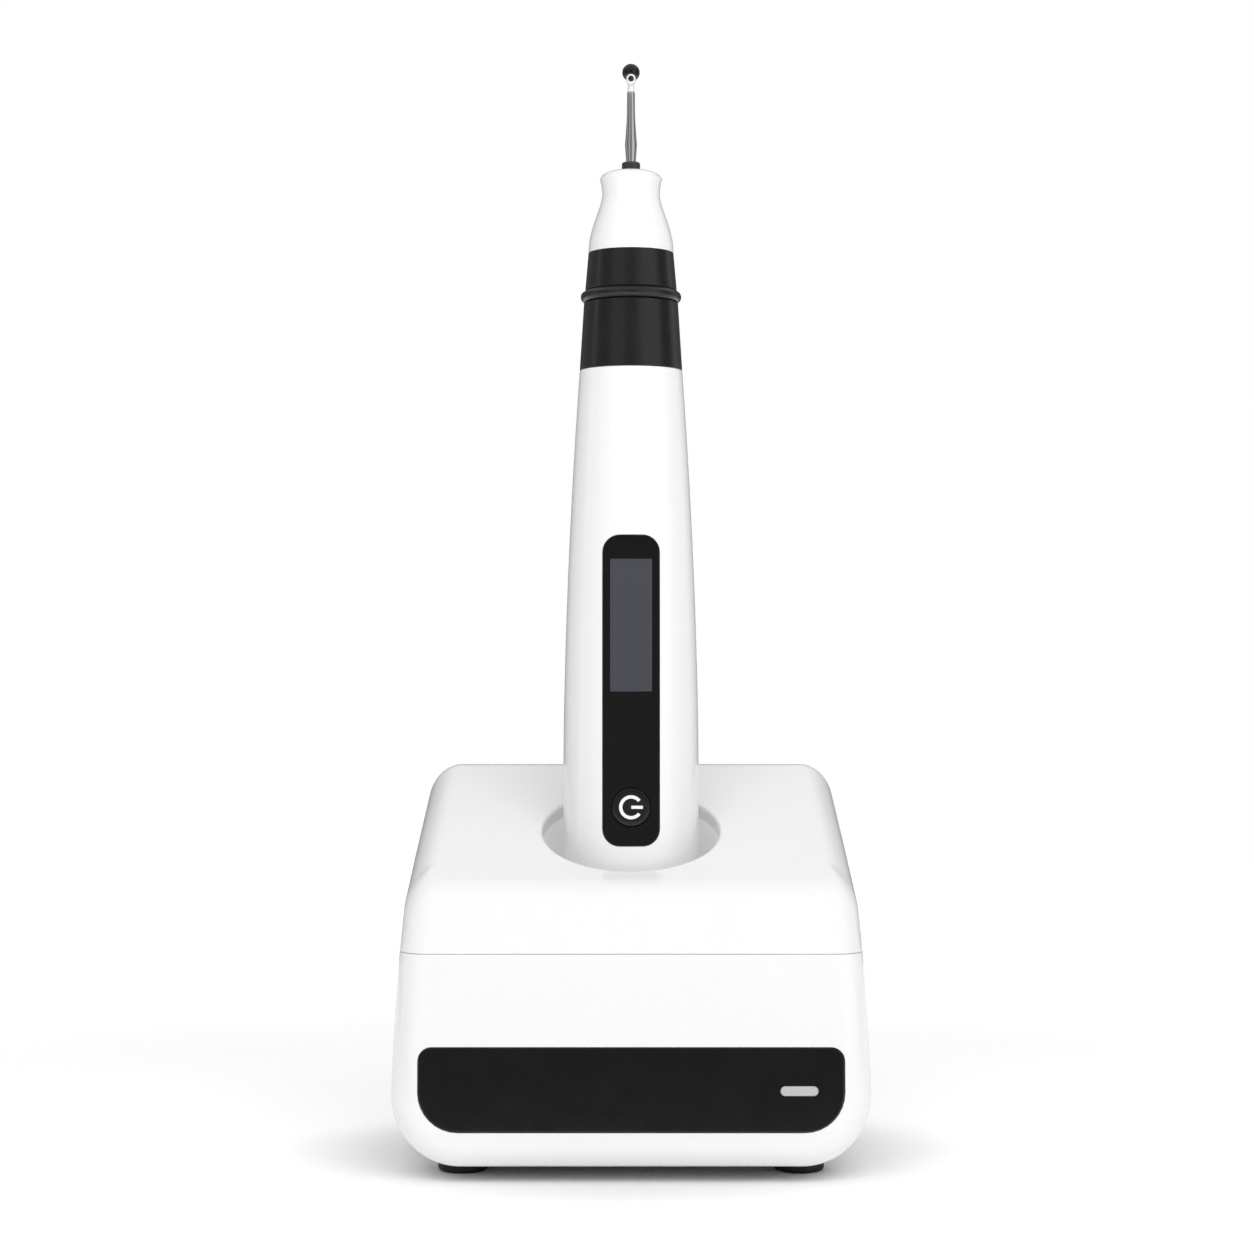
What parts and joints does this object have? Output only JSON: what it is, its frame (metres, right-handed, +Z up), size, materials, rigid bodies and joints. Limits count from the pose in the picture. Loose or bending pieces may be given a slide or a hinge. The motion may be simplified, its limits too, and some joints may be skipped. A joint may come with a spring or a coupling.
{
  "type": "cordless endodontic handpiece with charging dock",
  "caption": "Cordless pen handpiece for root-canal work with a heated-style bent tip, display and power button, standing in a sloped-top charging dock.",
  "frame": {"origin": "on the table surface under the middle of the dock, on the handpiece's axis", "axes": "+Z up along the handpiece, front with display faces -Y, +X to the right when seen from the front"},
  "size_m": [0.0914, 0.0687, 0.218],
  "materials": {
    "white_plastic": "gloss",
    "cup_plastic": "satin",
    "base_plastic": "matt",
    "band_plastic": "satin",
    "panel_black": "gloss",
    "button_black": "satin",
    "screen_glass": "gloss",
    "light_diffuser": "translucent satin",
    "led_package": "gloss",
    "foot_rubber": "matt",
    "inner_plastic": "matt",
    "board_green": "satin",
    "flex_amber": "satin",
    "lead_red": "satin",
    "cell_wrap": "satin",
    "screw_steel": "brushed",
    "gold_plate": "polished",
    "tip_steel": "satin",
    "collar_dark": "dark satin",
    "elbow_chrome": "polished",
    "nib_dark": "dark",
    "bead_black": "gloss",
    "insulation": "matt",
    "copper": "drawn"
  },
  "bodies": {
    "dock": {"upper_cover": "white_plastic", "lower_shell": "white_plastic", "base_plate": "base_plastic", "ballast_plate": "screw_steel", "rubber_feet": "foot_rubber", "base_screws": "screw_steel", "cover_screws": "screw_steel", "front_strip": "panel_black", "light_pipe": "light_diffuser", "status_led": "led_package", "charge_board": "board_green", "board_chips": "inner_plastic", "board_screws": "screw_steel", "well_cup": "cup_plastic", "pin_block": "inner_plastic", "pin_springs": "screw_steel", "power_inlet": "inner_plastic"},
    "contact_pins": {"charge_pins": "gold_plate"},
    "handpiece": {"rear_cap": "white_plastic", "rear_seal": "foot_rubber", "cap_screws": "screw_steel", "charge_pads": "gold_plate", "body_shell": "white_plastic", "chassis": "inner_plastic", "battery_cell": "cell_wrap", "battery_tabs": "screw_steel", "main_board": "board_green", "main_board_chips": "inner_plastic", "main_board_screws": "screw_steel", "display_module": "screen_glass", "panel_lens": "panel_black", "power_switch": "screw_steel", "buzzer": "inner_plastic", "core_tube": "inner_plastic", "lower_band": "band_plastic", "upper_band": "band_plastic", "ring_flex_board": "flex_amber", "ring_switches": "screw_steel", "nose_cone": "white_plastic", "nose_bush": "gold_plate", "socket_block": "inner_plastic", "socket_contacts": "gold_plate", "tip_leads": "lead_red"},
    "button": {"power_button": "button_black"},
    "ring": {"activation_ring": "band_plastic"},
    "collar": {"collar_sleeve": "tip_steel", "tip_collar": "collar_dark"},
    "tip": {"tip_plug": "tip_steel", "tip_shaft": "tip_steel", "tip_insulator": "insulation", "tip_wire": "copper", "tip_contact": "gold_plate", "tip_elbow": "elbow_chrome", "plugger_nib": "nib_dark", "color_bead": "bead_black"}
  },
  "joints": [
    {"name": "handpiece_lift", "type": "slide", "parent": "dock", "child": "handpiece", "axis": [0, 0, 1], "range_m": [0, 0.06]},
    {"name": "pins_press", "type": "slide", "parent": "dock", "child": "contact_pins", "axis": [0, 0, 1], "range_m": [-0.0008, 0], "stiffness_N_per_m": 100, "deforming": ["pin_springs"]},
    {"name": "button_press", "type": "slide", "parent": "handpiece", "child": "button", "axis": [0, 0.9997, -0.0232], "range_m": [0, 0.0004], "stiffness_N_per_m": 300},
    {"name": "ring_press", "type": "slide", "parent": "handpiece", "child": "ring", "axis": [0, 1, 0], "range_m": [-0.0004, 0.0004], "stiffness_N_per_m": 300},
    {"name": "tip_turn", "type": "hinge", "parent": "handpiece", "child": "collar", "pos_m": [0, 0, 0.196], "axis": [0, 0, 1], "continuous": true},
    {"name": "tip_pull", "type": "slide", "parent": "collar", "child": "tip", "axis": [0, 0, 1], "range_m": [0, 0.018]}
  ]
}
